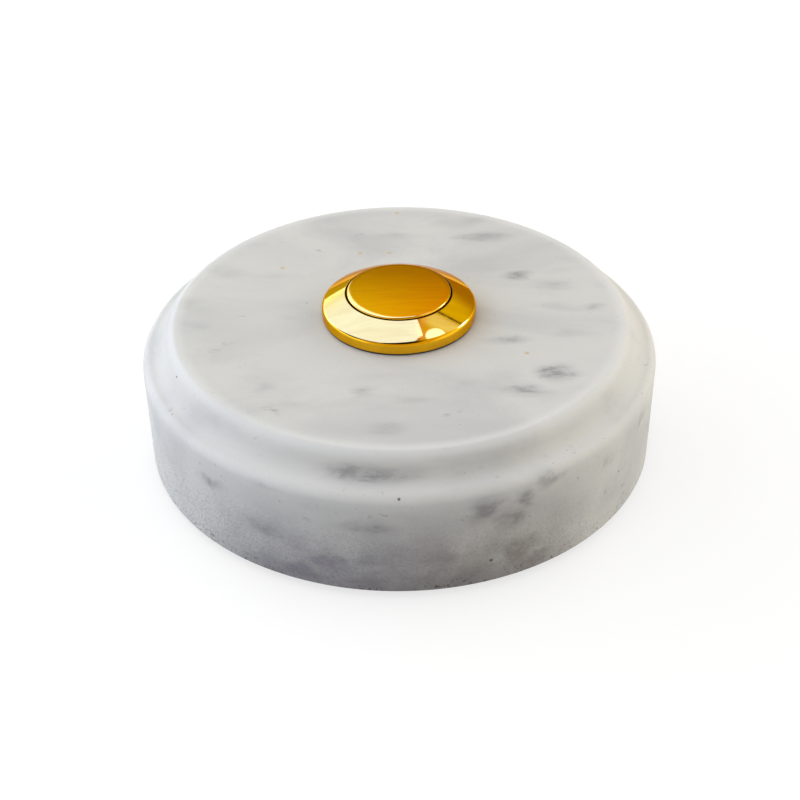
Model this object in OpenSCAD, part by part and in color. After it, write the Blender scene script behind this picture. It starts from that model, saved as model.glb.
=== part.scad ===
// Doorbell push: a round white marble base with a moulded upper edge, and a brass push in its middle.
// It lies on its back, +Z up, with the origin in the middle of its underside. Millimetres.

/* [Stone base] */
// Outer diameter of the stone
base_d = 80; // [76:1:120]
// Height of the stone
stone_h = 21.8; // [20.5:0.1:32]
// Radius of the soft edge round the flat top
arris_r = 0.9; // [0.4:0.1:1.4]
// Radius of the swell below that edge
swell_r = 3.65; // [3:0.05:6]
// Radius of the hollow under the swell
cove_r = 3.05; // [2:0.05:5]
// Radius of the shoulder where the ledge turns down into the wall
shoulder_r = 1.7; // [1:0.1:4]
// Slope below level where the soft edge runs into the swell
arris_slope = 33; // [20:1:50]
// Slope below level where the swell turns into the hollow
steep_slope = 72; // [60:1:85]
// Slope below level where the hollow turns into the shoulder
ledge_slope = 14; // [5:1:40]
// Bevel round the bottom edge of the stone
foot_bevel = 0.6; // [0.2:0.1:1.5]
// Width of the stone rim that surrounds the back cover
rim_w = 8; // [7:0.5:10]
// Width of the stone shelf that the back cover lies against
shelf_w = 9; // [7:0.5:9]
// Thickness of the stone that the push clamps
web_t = 7.5; // [5:0.1:8]

/* [Underside] */
// Thickness of the non-slip pad
pad_t = 0.8; // [0.5:0.1:2]
// Width of the pad's ring
pad_w = 5.4; // [3:0.1:6]
// Distance from the wall of the stone to the pad
pad_inset = 1.8; // [1:0.1:2]
// Thickness of the back cover
cover_t = 1.5; // [1.2:0.1:2]
// How far the back cover lies inside the underside of the stone
cover_sink = 0.2; // [0:0.1:0.5]
// Gap round the edge of the back cover
cover_gap = 0.3; // [0.1:0.1:0.6]
// Number of screws that hold the back cover
cover_screws_n = 3; // [3:1:4]
// Shank diameter of a cover screw
screw_d = 3; // [2.5:0.1:3.5]
// Head diameter of a cover screw
screw_head_d = 5.6; // [5:0.1:6]
// Length of a cover screw
screw_l = 7; // [5:0.5:8]
// Width of the cross slot in a cover screw
screw_slot_w = 0.75; // [0.5:0.05:1]
// Length of the cross slot in a cover screw
screw_slot_l = 3.4; // [2.8:0.1:4]
// Depth of the cross slot in a cover screw
screw_slot_h = 0.9; // [0.6:0.1:1.2]
// Outer diameter of a threaded insert
insert_d = 5; // [4.6:0.1:5.6]
// Length of a threaded insert
insert_l = 6; // [4:0.5:7]
// Distance between the two keyholes
keyhole_pitch = 34; // [32:0.5:35]
// Diameter of the wide end of a keyhole
keyhole_d = 8.5; // [8:0.1:9]
// Width of the narrow end of a keyhole
keyhole_slot_w = 4.5; // [4:0.1:5]
// Distance from the middle of the wide end to the middle of the narrow end
keyhole_drop = 6.5; // [6:0.1:7]
// Bore of the cable grommet
cable_d = 5; // [3:0.1:6]
// Wall of the grommet's neck
grommet_wall = 1.5; // [1:0.1:2]
// Width of the grommet's flanges beyond the neck
grommet_flange_w = 1.5; // [1:0.1:2]
// Thickness of the grommet's inner flange
grommet_flange_t = 1.2; // [0.8:0.1:1.6]
// Thickness of the grommet's outer flange
grommet_lip_t = 0.6; // [0.4:0.1:0.8]
// Rounding of the grommet's edges
grommet_round = 0.25; // [0.1:0.05:0.35]

/* [Push head] */
// Diameter of the bezel
head_d = 23.9; // [22:0.1:28]
// Height of the bezel above its gasket
head_h = 3.7; // [3.2:0.1:4.5]
// Height of the bezel's straight rim
rim_h = 1.7; // [1:0.05:2]
// Rounding between the rim and the cone of the bezel
rim_round = 0.8; // [0.1:0.05:1]
// Rounding of the rim's bottom edge
foot_round = 0.15; // [0.05:0.05:0.3]
// Rounding of the edge that surrounds the button
lip_round = 0.2; // [0.05:0.05:0.3]
// Depth of the lip that holds the button in
lip_h = 2.3; // [1.8:0.1:2.5]
// Thickness of the gasket under the bezel
gasket_t = 0.3; // [0.2:0.1:0.6]
// How far the gasket stays inside the rim of the bezel
gasket_inset = 0.15; // [0.05:0.05:0.8]
// Wall of the barrel outside the contact carrier
barrel_wall = 0.95; // [0.8:0.05:1.4]
// Step in the barrel's bore that the contact carrier stops against
barrel_step = 0.3; // [0.2:0.05:0.5]
// Barrel left below the nut
barrel_spare = 0.9; // [0.5:0.1:1.5]
// Bevel at the end of the barrel's thread
thread_bevel = 0.35; // [0.2:0.05:0.5]
// Height of the edge that is rolled over the contact carrier
roll_h = 0.6; // [0.4:0.1:0.8]
// Width of the edge that is rolled over the contact carrier
roll_w = 0.5; // [0.3:0.1:0.8]
// Gap between the barrel and the hole in the stone
stone_gap = 0.3; // [0.2:0.1:0.6]
// Thickness of the fibre washer
fibre_t = 0.8; // [0.5:0.1:1.2]
// How far the fibre washer reaches beyond the corners of the nut
fibre_margin = 0.8; // [0.3:0.1:1.5]
// Thickness of the toothed washer
tooth_washer_t = 0.9; // [0.6:0.1:1.2]
// Number of teeth on the toothed washer
tooth_n = 12; // [8:1:16]
// Depth of a notch between two teeth
tooth_depth = 1.1; // [0.6:0.1:1.4]
// Height of the nut
nut_h = 3.5; // [2.5:0.1:4]
// Wall of the nut at its flats
nut_wall = 3; // [2:0.05:3.5]

/* [Button] */
// Diameter of the button
button_d = 16.05; // [15:0.05:17]
// Gap between the button and the bezel
button_gap = 0.15; // [0.1:0.05:0.4]
// How far the button stands above the bezel
button_proud = 0.3; // [0:0.05:0.6]
// Rounding of the button's edge
button_round = 0.3; // [0.1:0.05:0.6]
// Thickness of the button's top
button_cap_t = 2; // [1.5:0.1:2.3]
// Wall of the button's skirt
skirt_t = 1.3; // [1:0.1:1.6]
// Width of the flange that holds the button in
flange_w = 0.55; // [0.45:0.05:0.8]
// Thickness of that flange
flange_t = 1; // [0.8:0.1:1.4]
// Gap between the flange and the barrel
slide_gap = 0.15; // [0.1:0.05:0.3]
// Travel of the button
travel = 1.8; // [1.4:0.1:2]
// Gap left at a stop
stop_gap = 0.05; // [0.02:0.01:0.1]

/* [Plunger] */
// Diameter of the plunger's stem
stem_d = 3; // [2.6:0.1:3.2]
// Diameter of the plunger's hub
hub_d = 6.2; // [5.6:0.1:7]
// Thickness of the plunger's disc
disc_t = 1.5; // [1:0.1:2]
// Gap between the plunger and what it slides in or presses into
fit_gap = 0.05; // [0.02:0.01:0.1]
// Depth of the groove that takes the clip
clip_groove = 0.4; // [0.3:0.05:0.5]
// Outer diameter of the clip
clip_d = 5.2; // [4.6:0.1:5.6]
// Thickness of the clip
clip_t = 0.4; // [0.3:0.05:0.5]
// Width of the clip's mouth
clip_mouth_w = 1.8; // [1.4:0.1:2]
// How far the stem enters its guide when the button is out
guide_engage = 1.4; // [1:0.1:1.4]

/* [Contacts] */
// Thickness of the contact carrier's floor
floor_t = 3.2; // [2.8:0.1:3.5]
// Height of the contact carrier
carrier_h = 5.3; // [5:0.1:6]
// Width of the rim that the return spring stands on
spring_seat_w = 1.95; // [1.6:0.05:2.1]
// Gap between the contact carrier and the barrel
carrier_gap = 0.05; // [0.02:0.01:0.1]
// Thickness of the contact strips and of the bridge
strip_t = 0.5; // [0.4:0.05:0.6]
// Width of the contact strips and of the bridge
strip_w = 3.6; // [3.2:0.1:4]
// Diameter of a contact rivet's head
rivet_d = 2.4; // [2:0.1:2.6]
// Thickness of a contact rivet's head
rivet_h = 0.4; // [0.3:0.05:0.6]
// Diameter of a contact rivet's shank
rivet_shank_d = 1.2; // [0.8:0.1:1.4]
// Distance between the two pairs of contacts
contact_pitch = 8.8; // [8.4:0.1:9]
// Open gap between the contacts
contact_gap = 1.2; // [0.8:0.1:1.2]
// Rounding of the bridge's corners
bridge_round = 0.9; // [0.3:0.1:1.5]
// Gap between the bridge and the stem
bridge_gap = 0.15; // [0.1:0.05:0.25]
// Shank diameter of a terminal screw
terminal_d = 2.5; // [2:0.1:2.6]
// Head diameter of a terminal screw
terminal_head_d = 4.4; // [4:0.1:4.6]
// Head height of a terminal screw
terminal_head_h = 1.6; // [1.2:0.1:1.8]
// Rounding of a terminal screw's head
terminal_round = 0.8; // [0.2:0.1:1]
// Width of the slot in a terminal screw
terminal_slot_w = 0.6; // [0.5:0.05:0.8]
// Depth of the slot in a terminal screw
terminal_slot_h = 0.8; // [0.6:0.1:1]
// Reach of a terminal screw into the carrier
terminal_reach = 2.4; // [1.8:0.1:2.4]
// Thickness of a terminal clamp
clamp_t = 0.8; // [0.6:0.1:1]
// Width of the wire groove in a terminal clamp
wire_groove_w = 0.6; // [0.4:0.1:0.8]
// Depth of the wire groove in a terminal clamp
wire_groove_h = 0.25; // [0.2:0.05:0.4]
// Gap round a screw or rivet in its hole
hole_gap = 0.05; // [0.02:0.01:0.1]

/* [Springs] */
// Wire of the return spring
return_wire_d = 0.7; // [0.5:0.05:0.8]
// Turns of the return spring
return_turns = 4.5; // [4:0.25:5]
// Wire of the contact spring
contact_wire_d = 0.35; // [0.3:0.05:0.4]
// Turns of the contact spring
contact_turns = 3.5; // [3:0.25:3.75]
// Gap between the closed turns at the ends of a spring
coil_gap = 0.45; // [0.42:0.01:0.5]
// Gap between a spring and its seats
seat_gap = 0.02; // [0.01:0.01:0.05]

/* [Hidden] */
$fn = 96;
// Straight steps in a round corner and in a bend of the moulding
corner_steps = 6;
bend_steps = 10;
// Overshoot of a cut past the faces that it opens
cut = 1;

// Heights of the stone and of what closes its underside
stone_z = pad_t;
stone_top = stone_z + stone_h;
cover_z = stone_z + cover_sink;
shelf_z = cover_z + cover_t;
web_z = stone_top - web_t;

// Radii of the stone
base_r = base_d / 2;
rebate_r = base_r - rim_w;
cavity_r = rebate_r - shelf_w;
cover_r = rebate_r - cover_gap;
screw_circle_r = (rebate_r + cavity_r) / 2;
moulding_w = arris_r * sin(arris_slope)
    + swell_r * (sin(steep_slope) - sin(arris_slope))
    + cove_r * (sin(steep_slope) - sin(ledge_slope))
    + shoulder_r * (1 - sin(ledge_slope));

// Radii of the push
button_r = button_d / 2;
lip_r = button_r + button_gap;
flange_r = button_r + flange_w;
slide_r = flange_r + slide_gap;
carrier_bore_r = slide_r + barrel_step;
barrel_r = carrier_bore_r + barrel_wall;
carrier_r = carrier_bore_r - carrier_gap;
pocket_r = carrier_r - spring_seat_w;
stone_bore_r = barrel_r + stone_gap;
nut_flat = 2 * (barrel_r + nut_wall);
nut_corner_r = nut_flat / 2 / cos(30);
head_r = head_d / 2;
stem_r = stem_d / 2;
hub_r = hub_d / 2;
recess_r = button_r - skirt_t;
contact_x = contact_pitch / 2;

// Heights of the push, from the bezel down to the terminals
head_z = stone_top + gasket_t;
head_top = head_z + head_h;
button_top = head_top + button_proud;
lip_z = head_top - lip_h;
flange_top = lip_z - stop_gap;
flange_z = flange_top - flange_t;
recess_top = button_top - button_cap_t;
disc_z = recess_top - disc_t;
fibre_z = web_z - fibre_t;
tooth_washer_z = fibre_z - tooth_washer_t;
nut_z = tooth_washer_z - nut_h;
barrel_end = nut_z - barrel_spare;
carrier_z = barrel_end + roll_h;
carrier_top = carrier_z + carrier_h;
floor_z = carrier_z + floor_t;
strip_top = floor_z + strip_t;
rivet_top = strip_top + rivet_h;
bridge_rivet_z = rivet_top + contact_gap;
bridge_z = bridge_rivet_z + rivet_h;
bridge_top = bridge_z + strip_t;
clip_z = bridge_z - stop_gap - clip_t;
stem_end = floor_z - guide_engage;
hub_z = bridge_top + contact_gap + contact_turns * (contact_wire_d + coil_gap) - coil_gap;
guide_top = clip_z - travel - stop_gap;
strip_z = carrier_z - strip_t;
clamp_z = strip_z - clamp_t;
terminal_z = clamp_z - terminal_head_h;

// The spot where one outline ends
function last(points) = points[len(points) - 1];

// A bend that starts at a point and whose slope below level goes from one angle to another
function bend(start, r, from, to, n = bend_steps) =
    let (k = to > from ? r : -r)
    [for (i = [1 : n]) let (s = from + (to - from) * i / n)
        start + k * [sin(s) - sin(from), cos(s) - cos(from)]];

// The arc that rounds the corner b between its neighbours a and c
function fillet(a, b, c, r, n = corner_steps) =
    let (
        u = (a - b) / norm(a - b),
        v = (c - b) / norm(c - b),
        half = acos(u * v) / 2,
        centre = b + (u + v) / norm(u + v) * r / sin(half),
        p = b + u * r / tan(half) - centre,
        q = b + v * r / tan(half) - centre,
        first = atan2(p.y, p.x),
        turn = (atan2(q.y, q.x) - first + 540) % 360 - 180
    )
    [for (i = [0 : n]) centre + r * [cos(first + turn * i / n), sin(first + turn * i / n)]];

// An outline from corners [x, y, radius], sharp where the radius is 0
function rounded(c) =
    [for (i = [0 : len(c) - 1])
        let (
            before = c[(i + len(c) - 1) % len(c)],
            after = c[(i + 1) % len(c)],
            here = [c[i].x, c[i].y]
        )
        each c[i].z > 0
            ? fillet([before.x, before.y], here, [after.x, after.y], c[i].z)
            : [here]];

// The moulded edge of the stone, from the flat top out and down to the wall
function moulding() =
    let (
        start = [base_r - moulding_w, stone_top],
        arris = bend(start, arris_r, 0, arris_slope, corner_steps),
        swell = bend(last(arris), swell_r, arris_slope, steep_slope),
        cove = bend(last(swell), cove_r, steep_slope, ledge_slope),
        shoulder = bend(last(cove), shoulder_r, ledge_slope, 90)
    )
    concat([start], arris, swell, cove, shoulder);

// Centre line of a spring with one closed turn at each end
coil_rings = 16;
coil_sides = 6;
function coil_path(r, wire_d, low, high, turns) =
    let (
        first = low + wire_d / 2,
        rise = high - low - wire_d,
        closed = wire_d + coil_gap,
        pitch = (rise - 2 * closed) / (turns - 2),
        n = round(turns * coil_rings)
    )
    [for (i = [0 : n])
        let (
            t = turns * i / n,
            open = min(max(t - 1, 0), turns - 2)
        )
        [r * cos(360 * t), r * sin(360 * t), first + closed * (t - open) + pitch * open]];

// The least gap between two turns of a spring
function least_gap(path, wire_d) =
    min([for (i = [0 : len(path) - 1]) for (j = [i + coil_rings / 2 : 1 : len(path) - 1])
        norm(path[i] - path[j])]) - wire_d;

// A tube of wire along a spring's centre line
module coil(path, wire_d) {
    n = len(path);
    m = coil_sides;
    points = [for (p = path) for (j = [0 : m - 1])
        let (
            a = 360 * (j + 0.5) / m,
            out = [p.x, p.y, 0] / norm([p.x, p.y])
        )
        p + wire_d / 2 * (out * cos(a) + [0, 0, 1] * sin(a))];
    sides = [for (i = [0 : n - 2]) for (j = [0 : m - 1])
        let (
            a = i * m + j,
            b = i * m + (j + 1) % m
        )
        each [[a, b, b + m], [a, b + m, a + m]]];
    ends = [for (j = [1 : m - 2]) each [[0, j + 1, j], [(n - 1) * m, (n - 1) * m + j, (n - 1) * m + j + 1]]];
    polyhedron(points, concat(sides, ends));
}

// A flat ring
module ring(outer_r, inner_r, low, h) {
    translate([0, 0, low])
        difference() {
            cylinder(r = outer_r, h = h);
            translate([0, 0, -cut])
                cylinder(r = inner_r, h = h + 2 * cut);
        }
}

// Places its children at each screw of the back cover
module at_cover_screws() {
    for (i = [0 : cover_screws_n - 1])
        rotate(90 + 360 * i / cover_screws_n)
            translate([screw_circle_r, 0, 0])
                children();
}

// Places its children at the left and at the right contact
module at_contacts() {
    for (side = [-1, 1])
        translate([side * contact_x, 0, 0])
            children();
}

// Marble base: moulded edge outside; bore, wiring cavity, shelf and rebate inside
module stone_base() {
    insert_hole_r = insert_d / 2 + hole_gap;
    insert_hole_h = max(insert_l, screw_l - cover_t) + hole_gap;
    color("gainsboro")
        difference() {
            rotate_extrude()
                polygon(concat(moulding(), [
                    [base_r, stone_z + foot_bevel],
                    [base_r - foot_bevel, stone_z],
                    [rebate_r, stone_z],
                    [rebate_r, shelf_z],
                    [cavity_r, shelf_z],
                    [cavity_r, web_z],
                    [stone_bore_r, web_z],
                    [stone_bore_r, stone_top]
                ]));
            at_cover_screws()
                translate([0, 0, shelf_z - cut])
                    cylinder(r = insert_hole_r, h = insert_hole_h + cut);
        }
}

// Non-slip ring under the rim of the stone
module base_pad() {
    pad_r = base_r - pad_inset;
    color("dimgray")
        ring(pad_r, pad_r - pad_w, 0, pad_t);
}

// Keyhole for a wall screw, wide end in the middle and narrow end up the wall
module keyhole_outline() {
    half = keyhole_slot_w / 2;
    end_round = half - hole_gap;
    circle(d = keyhole_d);
    polygon(rounded([
        [-half, 0, 0],
        [half, 0, 0],
        [half, keyhole_drop + half, end_round],
        [-half, keyhole_drop + half, end_round]
    ]));
}

// Steel cover with the cable hole, two keyholes and countersunk screw holes
module back_cover() {
    neck_r = cable_d / 2 + grommet_wall;
    screw_hole_r = screw_d / 2 + hole_gap;
    sink_r = screw_head_d / 2 + hole_gap;
    sink_h = sink_r - screw_hole_r;
    color("silver")
        difference() {
            translate([0, 0, cover_z])
                linear_extrude(cover_t)
                    difference() {
                        circle(r = cover_r);
                        circle(r = neck_r);
                        for (side = [-1, 1])
                            translate([side * keyhole_pitch / 2, 0])
                                keyhole_outline();
                    }
            at_cover_screws() {
                translate([0, 0, cover_z - cut])
                    cylinder(r = screw_hole_r, h = cover_t + 2 * cut);
                translate([0, 0, cover_z])
                    cylinder(r1 = sink_r, r2 = screw_hole_r, h = sink_h);
            }
        }
}

// Threaded brass inserts, bonded into the stone behind the cover
module cover_inserts() {
    color("goldenrod")
        at_cover_screws()
            ring(insert_d / 2, screw_d / 2 + hole_gap, shelf_z, insert_l);
}

// Countersunk screws with a cross slot, heads flush with the cover
module cover_screws() {
    head_r = screw_head_d / 2;
    shank_r = screw_d / 2;
    color("lightgray")
        at_cover_screws()
            translate([0, 0, cover_z])
                difference() {
                    rotate_extrude()
                        polygon([
                            [0, 0],
                            [head_r, 0],
                            [shank_r, head_r - shank_r],
                            [shank_r, screw_l],
                            [0, screw_l]
                        ]);
                    for (a = [0, 90])
                        rotate(a)
                            translate([-screw_slot_l / 2, -screw_slot_w / 2, -cut])
                                cube([screw_slot_l, screw_slot_w, screw_slot_h + cut]);
                }
}

// Rubber grommet that snaps into the cover, with a bore for the cable
module cable_grommet() {
    bore_r = cable_d / 2;
    neck_r = bore_r + grommet_wall;
    flange_r = neck_r + grommet_flange_w;
    low = cover_z - grommet_lip_t;
    high = shelf_z + grommet_flange_t;
    color("dimgray")
        rotate_extrude()
            polygon(rounded([
                [bore_r, low, 0],
                [flange_r, low, grommet_round],
                [flange_r, cover_z, 0],
                [neck_r - hole_gap, cover_z, 0],
                [neck_r - hole_gap, shelf_z, 0],
                [flange_r, shelf_z, 0],
                [neck_r, high, grommet_round],
                [bore_r, high, 0]
            ]));
}

// Brass bezel: conical head, threaded barrel, lip over the button, edge rolled over the carrier
module push_bezel() {
    carrier_stop = carrier_top + carrier_gap;
    color("gold")
        rotate_extrude()
            polygon(rounded([
                [lip_r, head_top, lip_round],
                [head_r, head_z + rim_h, rim_round],
                [head_r, head_z, foot_round],
                [barrel_r, head_z, 0],
                [barrel_r, barrel_end + thread_bevel, 0],
                [barrel_r - thread_bevel, barrel_end, 0],
                [carrier_bore_r - roll_w, barrel_end, 0],
                [carrier_bore_r - roll_w, carrier_z, 0],
                [carrier_bore_r, carrier_z, 0],
                [carrier_bore_r, carrier_stop, 0],
                [slide_r, carrier_stop, 0],
                [slide_r, lip_z, 0],
                [lip_r, lip_z, 0]
            ]));
}

// Thin gasket between the bezel and the stone
module bezel_gasket() {
    color("black")
        ring(head_r - gasket_inset, barrel_r + hole_gap, stone_top, gasket_t);
}

// Fibre washer that keeps the nut off the stone
module fibre_washer() {
    color("firebrick")
        ring(nut_corner_r + fibre_margin, barrel_r + hole_gap, fibre_z, fibre_t);
}

// Toothed washer that keeps the nut from turning
module tooth_washer() {
    outer_r = nut_flat / 2;
    notch_w = PI * outer_r / tooth_n;
    color("lightgray")
        difference() {
            ring(outer_r, barrel_r + hole_gap, tooth_washer_z, tooth_washer_t);
            for (i = [0 : tooth_n - 1])
                rotate(360 * i / tooth_n)
                    translate([outer_r - tooth_depth, -notch_w / 2, tooth_washer_z - cut])
                        cube([tooth_depth + cut, notch_w, tooth_washer_t + 2 * cut]);
        }
}

// Hexagon nut with bevelled corners, which clamps the push to the stone
module lock_nut() {
    bevel = nut_corner_r - nut_flat / 2;
    low_r = nut_flat / 2;
    color("goldenrod")
        difference() {
            intersection() {
                translate([0, 0, nut_z])
                    cylinder(r = nut_corner_r, h = nut_h, $fn = 6);
                rotate_extrude()
                    polygon([
                        [0, nut_z],
                        [low_r, nut_z],
                        [nut_corner_r + bevel, nut_z + bevel],
                        [nut_corner_r + bevel, nut_z + nut_h],
                        [0, nut_z + nut_h]
                    ]);
            }
            translate([0, 0, nut_z - cut])
                cylinder(r = barrel_r + hole_gap, h = nut_h + 2 * cut);
        }
}

// Insulating carrier: floor for the contacts, guide for the plunger, seat for the return spring
module contact_carrier() {
    guide_r = stem_r + fit_gap;
    boss_r = clip_d / 2;
    leg_x = strip_leg_x();
    color("#2b211c")
        difference() {
            rotate_extrude()
                polygon([
                    [guide_r, carrier_z],
                    [carrier_r, carrier_z],
                    [carrier_r, carrier_top],
                    [pocket_r, carrier_top],
                    [pocket_r, floor_z],
                    [boss_r, floor_z],
                    [boss_r, guide_top],
                    [guide_r, guide_top]
                ]);
            at_contacts()
                translate([0, 0, carrier_z - cut])
                    cylinder(r = terminal_d / 2 + hole_gap, h = terminal_reach + hole_gap + cut);
            for (side = [-1, 1])
                translate([
                    side * (leg_x + strip_t / 2) - strip_t / 2 - hole_gap,
                    -strip_w / 2 - hole_gap,
                    carrier_z - cut
                ])
                    cube([strip_t + 2 * hole_gap, strip_w + 2 * hole_gap, floor_t + 2 * cut]);
        }
}

// Inner face of a contact strip's upright leg
function strip_leg_x() =
    sqrt(pow(pocket_r - hole_gap, 2) - pow(strip_w / 2 + hole_gap, 2)) - strip_t - hole_gap;

// Contact strip folded round the carrier's floor: contact above, terminal below
module contact_strip() {
    leg_x = strip_leg_x();
    upper_toe_x = contact_x - rivet_d / 2;
    lower_toe_x = contact_x - terminal_head_d / 2;
    edge = strip_t / 2;
    color("goldenrod")
        difference() {
            translate([0, strip_w / 2, 0])
                rotate([90, 0, 0])
                    linear_extrude(strip_w)
                        polygon(rounded([
                            [upper_toe_x, strip_top, 0],
                            [upper_toe_x, floor_z, 0],
                            [leg_x, floor_z, 0],
                            [leg_x, carrier_z, 0],
                            [lower_toe_x, carrier_z, 0],
                            [lower_toe_x, strip_z, 0],
                            [leg_x + strip_t, strip_z, edge],
                            [leg_x + strip_t, strip_top, edge]
                        ]));
            translate([contact_x, 0, floor_z - cut / 2])
                cylinder(d = rivet_shank_d, h = strip_t + cut);
            translate([contact_x, 0, strip_z - cut / 2])
                cylinder(d = terminal_d + 2 * hole_gap, h = strip_t + cut);
        }
}

module fixed_contact_left() {
    rotate(180)
        contact_strip();
}

module fixed_contact_right() {
    contact_strip();
}

// Silver rivet, shank down through a strip that lies between two heights
module contact_rivet(low, high) {
    color("whitesmoke") {
        translate([0, 0, low])
            cylinder(d = rivet_shank_d, h = high - low);
        translate([0, 0, high])
            cylinder(d = rivet_d, h = rivet_h);
    }
}

module fixed_rivets() {
    at_contacts()
        contact_rivet(floor_z, strip_top);
}

// Square clamps under the heads of the terminal screws, with a groove for the wire
module terminal_clamps() {
    side = terminal_head_d;
    groove_x = (side + terminal_d) / 4;
    color("goldenrod")
        at_contacts()
            translate([0, 0, clamp_z])
                difference() {
                    translate([-side / 2, -side / 2, 0])
                        cube([side, side, clamp_t]);
                    translate([0, 0, -cut])
                        cylinder(r = terminal_d / 2 + hole_gap, h = clamp_t + 2 * cut);
                    for (k = [-1, 1])
                        translate([
                            k * groove_x - wire_groove_w / 2,
                            -side / 2 - cut,
                            clamp_t - wire_groove_h
                        ])
                            cube([wire_groove_w, side + 2 * cut, wire_groove_h + cut]);
                }
}

// Slotted terminal screws, driven from below
module terminal_screws() {
    head_r = terminal_head_d / 2;
    shank_r = terminal_d / 2;
    shank_top = carrier_z + terminal_reach;
    color("lightgray")
        at_contacts()
            difference() {
                rotate_extrude()
                    polygon(rounded([
                        [0, terminal_z, 0],
                        [head_r, terminal_z, terminal_round],
                        [head_r, clamp_z, 0],
                        [shank_r, clamp_z, 0],
                        [shank_r, shank_top, 0],
                        [0, shank_top, 0]
                    ]));
                translate([-terminal_slot_w / 2, -head_r - cut, terminal_z - cut])
                    cube([terminal_slot_w, 2 * head_r + 2 * cut, terminal_slot_h + cut]);
            }
}

// Return spring between the rim of the carrier and the flange of the button
return_r = (pocket_r + carrier_bore_r - barrel_step) / 2;
return_path = coil_path(return_r, return_wire_d, carrier_top + seat_gap, flange_z - seat_gap, return_turns);
echo(str("least gap between turns of return_spring: ", least_gap(return_path, return_wire_d)));
module return_spring() {
    color("silver")
        coil(return_path, return_wire_d);
}

// Brass button: hollow cap with a flange that the lip of the bezel holds in
module push_button() {
    color("orange")
        rotate_extrude()
            polygon(rounded([
                [0, recess_top, 0],
                [recess_r, recess_top, 0],
                [recess_r, flange_z, 0],
                [flange_r, flange_z, 0],
                [flange_r, flange_top, 0],
                [button_r, flange_top, 0],
                [button_r, button_top, button_round],
                [0, button_top, 0]
            ]));
}

// Insulating plunger: disc pressed into the button, hub over the contact spring, stem with a clip groove
module plunger() {
    disc_r = recess_r - fit_gap;
    groove_r = stem_r - clip_groove;
    groove_top = clip_z + clip_t + fit_gap;
    lead = clip_groove;
    color("ivory")
        rotate_extrude()
            polygon([
                [0, stem_end],
                [stem_r - lead, stem_end],
                [stem_r, stem_end + lead],
                [stem_r, clip_z - fit_gap],
                [groove_r, clip_z - fit_gap],
                [groove_r, groove_top],
                [stem_r, groove_top],
                [stem_r, hub_z],
                [hub_r, hub_z],
                [hub_r, disc_z],
                [disc_r, disc_z],
                [disc_r, recess_top],
                [0, recess_top]
            ]);
}

// Open clip in the groove of the stem, which carries the bridge and stops the button at full travel
module plunger_clip() {
    inner_r = stem_r - clip_groove + fit_gap;
    color("lightgray")
        difference() {
            ring(clip_d / 2, inner_r, clip_z, clip_t);
            translate([-clip_mouth_w / 2, 0, clip_z - cut])
                cube([clip_mouth_w, clip_d, clip_t + 2 * cut]);
        }
}

// Contact spring between the hub of the plunger and the bridge
contact_r = (stem_r + hub_r) / 2;
contact_path = coil_path(contact_r, contact_wire_d, bridge_top + seat_gap, hub_z - seat_gap, contact_turns);
echo(str("least gap between turns of contact_spring: ", least_gap(contact_path, contact_wire_d)));
module contact_spring() {
    color("silver")
        coil(contact_path, contact_wire_d);
}

// Bridge that slides on the stem: an eye under the contact spring and an arm to each fixed contact
module contact_bridge() {
    half_l = contact_x + rivet_d / 2;
    color("goldenrod")
        translate([0, 0, bridge_z])
            linear_extrude(strip_t)
                difference() {
                    union() {
                        polygon(rounded([
                            [-half_l, -strip_w / 2, bridge_round],
                            [half_l, -strip_w / 2, bridge_round],
                            [half_l, strip_w / 2, bridge_round],
                            [-half_l, strip_w / 2, bridge_round]
                        ]));
                        circle(r = hub_r);
                    }
                    circle(r = stem_r + bridge_gap);
                    at_contacts()
                        circle(d = rivet_shank_d);
                }
}

module bridge_rivets() {
    at_contacts()
        mirror([0, 0, 1])
            contact_rivet(-bridge_top, -bridge_z);
}

stone_base();
base_pad();
back_cover();
cover_inserts();
cover_screws();
cable_grommet();
push_bezel();
bezel_gasket();
fibre_washer();
tooth_washer();
lock_nut();
contact_carrier();
fixed_contact_left();
fixed_contact_right();
fixed_rivets();
terminal_clamps();
terminal_screws();
return_spring();
push_button();
plunger();
plunger_clip();
contact_spring();
contact_bridge();
bridge_rivets();
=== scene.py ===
import math

import bmesh
import bpy
from mathutils import Matrix, Vector


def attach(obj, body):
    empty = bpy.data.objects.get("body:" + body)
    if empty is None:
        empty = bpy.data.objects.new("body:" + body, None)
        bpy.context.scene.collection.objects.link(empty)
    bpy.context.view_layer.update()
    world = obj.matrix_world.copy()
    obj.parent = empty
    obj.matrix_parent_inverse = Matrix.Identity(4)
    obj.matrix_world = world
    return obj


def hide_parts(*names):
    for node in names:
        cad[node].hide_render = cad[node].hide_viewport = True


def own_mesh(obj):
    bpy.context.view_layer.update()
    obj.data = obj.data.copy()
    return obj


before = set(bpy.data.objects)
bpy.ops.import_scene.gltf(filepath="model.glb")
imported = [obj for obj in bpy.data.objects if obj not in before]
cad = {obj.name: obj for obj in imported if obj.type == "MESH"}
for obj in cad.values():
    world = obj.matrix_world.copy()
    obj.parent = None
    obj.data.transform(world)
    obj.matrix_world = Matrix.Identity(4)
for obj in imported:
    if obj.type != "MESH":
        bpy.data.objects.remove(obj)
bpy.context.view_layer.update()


# Marble base: a disc of white marble about 2 cm thick, turned on a lathe and honed.
# Its upper edge is moulded into a soft arris, a swell, a hollow and a rounded shoulder.
# Underneath it is hollowed out for the wiring, with a shelf and drilled holes for the back cover.
MM = 0.001
stone_r = 40 * MM
stone_low = 0.8 * MM
stone_top = 22.6 * MM
foot_bevel = 0.6 * MM
rebate_r = 32 * MM
shelf_z = 2.5 * MM
cavity_r = 23 * MM
web_z = 15.1 * MM
stone_bore_r = 10.275 * MM
cover_screw_count = 3
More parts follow.
